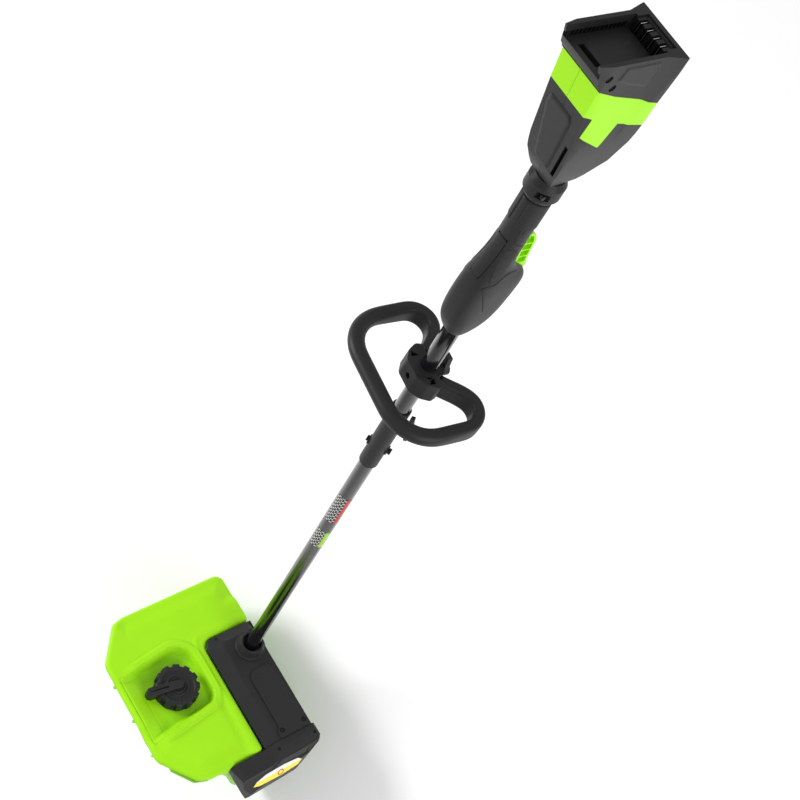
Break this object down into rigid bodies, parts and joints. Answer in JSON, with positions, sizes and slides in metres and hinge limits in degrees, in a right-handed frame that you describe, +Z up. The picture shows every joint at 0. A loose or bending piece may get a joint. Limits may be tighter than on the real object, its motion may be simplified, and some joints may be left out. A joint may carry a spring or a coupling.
{
  "type": "cordless snow shovel",
  "caption": "Cordless snow shovel with a hooded paddle rotor, aiming knob and vanes, black tube, sliding loop handle, trigger grip and slanted battery bay.",
  "frame": {"origin": "middle of the scraper's underside, where the head rests on the ground (lengthwise middle shifted 8.5 mm from the hood's centre to the tube's plane)", "axes": "+Z up, snow leaves toward -Y, the tube leans back toward +Y, the belt-drive end of the head is at +X"},
  "size_m": [0.3595, 1.1779, 1.2583],
  "materials": {
    "green_shell": "satin",
    "steel": "brushed",
    "tube_black": "gloss",
    "rubber_black": "matte",
    "belt": "matte",
    "light_metal": "satin",
    "label": "gloss",
    "contacts": "bright",
    "black_screws": "satin",
    "deep_black_plastic": "matte",
    "black_plastic": "satin"
  },
  "bodies": {
    "frame": {"hood": "green_shell", "well_tray": "green_shell", "chute_guide": "green_shell", "scraper": "deep_black_plastic", "bearing_cap": "deep_black_plastic", "skid_left": "deep_black_plastic", "shaft_bearings": "steel", "drive_belt": "belt", "motor_case": "light_metal", "drive_housing": "black_plastic", "housing_cover": "black_plastic", "cover_plate": "black_plastic", "end_cap": "black_plastic", "end_cap_label": "label", "tube_boss": "black_plastic", "housing_screws": "black_screws", "cover_screws": "black_screws", "lower_tube": "tube_black", "tube_label_upper": "label", "tube_label_lower": "label", "sleeve": "black_plastic", "sleeve_bolt": "steel", "upper_tube": "tube_black", "handle_left": "black_plastic", "handle_right": "black_plastic", "grip_pad": "rubber_black", "side_cover": "black_plastic", "trigger_spring": "steel", "switch_body": "deep_black_plastic", "collar": "black_plastic", "collar_screw": "steel", "shell_left": "black_plastic", "shell_right": "black_plastic", "under_panel": "deep_black_plastic", "green_band": "green_shell", "battery_cap": "black_plastic", "bay_rails": "deep_black_plastic", "terminal_block": "deep_black_plastic", "terminal_blades": "contacts"},
    "rotor": {"rotor_shaft": "steel", "rotor_hub": "deep_black_plastic", "rotor_paddle_set": "rubber_black", "rotor_pulley": "deep_black_plastic"},
    "motor_rotor": {"motor_shaft": "steel", "motor_pulley": "light_metal"},
    "aim": {"aim_knob": "black_plastic", "knob_spindle": "steel"},
    "vane_l": {"vane_left": "green_shell"},
    "vane_m": {"vane_middle": "green_shell"},
    "vane_r": {"vane_right": "green_shell"},
    "tie": {"vane_tie_bar": "black_plastic"},
    "lock_knob": {"sleeve_knob": "black_plastic"},
    "loop": {"loop_bar": "black_plastic", "clamp_body": "black_plastic", "clamp_jaw": "black_plastic", "clamp_bolt": "steel"},
    "wing": {"clamp_wing": "black_plastic"},
    "trigger_body": {"trigger": "green_shell"},
    "lock_body": {"lock_lever": "black_plastic"}
  },
  "joints": [
    {"name": "rotor_spin", "type": "hinge", "parent": "frame", "child": "rotor", "pos_m": [0.0085, -0.035, 0.061], "axis": [1, 0, 0], "continuous": true},
    {"name": "motor_spin", "type": "hinge", "parent": "frame", "child": "motor_rotor", "pos_m": [0.09, 0.05547, 0.11814], "axis": [1, 0, 0], "continuous": true},
    {"name": "aim_turn", "type": "hinge", "parent": "frame", "child": "aim", "pos_m": [0.004, -0.03214, 0.22259], "axis": [0, 0.6691, 0.7431], "range_deg": [-30, 19]},
    {"name": "vane_left_turn", "type": "hinge", "parent": "frame", "child": "vane_l", "pos_m": [-0.0555, -0.06232, 0.21747], "axis": [0, 0.6691, 0.7431], "range_deg": [-30.2, 19.2]},
    {"name": "vane_middle_turn", "type": "hinge", "parent": "frame", "child": "vane_m", "pos_m": [0.0085, -0.06232, 0.21747], "axis": [0, 0.6691, 0.7431], "range_deg": [-30.2, 19.2]},
    {"name": "vane_right_turn", "type": "hinge", "parent": "frame", "child": "vane_r", "pos_m": [0.0725, -0.06232, 0.21747], "axis": [0, 0.6691, 0.7431], "range_deg": [-30.2, 19.2]},
    {"name": "tie_turn", "type": "hinge", "parent": "vane_m", "child": "tie", "pos_m": [0.00524, -0.03135, 0.20129], "axis": [0, 0.6691, 0.7431], "range_deg": [-19.4, 30.4]},
    {"name": "lock_knob_turn", "type": "hinge", "parent": "frame", "child": "lock_knob", "pos_m": [0, 0.5797, 0.69437], "axis": [0.8746, 0.3603, -0.3244], "range_deg": [-120, 120]},
    {"name": "loop_slide", "type": "slide", "parent": "frame", "child": "loop", "axis": [0, 0.6691, 0.7431], "range_m": [-0.04, 0.068]},
    {"name": "wing_turn", "type": "hinge", "parent": "loop", "child": "wing", "pos_m": [0.00321, 0.67136, 0.76069], "axis": [0.1338, 0.6967, -0.7048], "range_deg": [-40, 40]},
    {"name": "trigger_pull", "type": "hinge", "parent": "frame", "child": "trigger_body", "pos_m": [0, 0.83827, 0.96212], "axis": [-1, 0, 0], "range_deg": [0, 8], "stiffness_Nm_per_rad": 0.4, "springref_deg": -8.59},
    {"name": "lock_press", "type": "hinge", "parent": "frame", "child": "lock_body", "pos_m": [0, 0.82527, 0.98863], "axis": [1, 0, 0], "range_deg": [0, 4], "stiffness_Nm_per_rad": 0.4, "springref_deg": -8.59}
  ],
  "couplings": [
    {"joint": "motor_spin", "follows": "rotor_spin", "ratio": 2.8},
    {"joint": "vane_left_turn", "follows": "aim_turn", "ratio": 1},
    {"joint": "vane_middle_turn", "follows": "aim_turn", "ratio": 1},
    {"joint": "vane_right_turn", "follows": "aim_turn", "ratio": 1},
    {"joint": "tie_turn", "follows": "aim_turn", "ratio": -1}
  ]
}
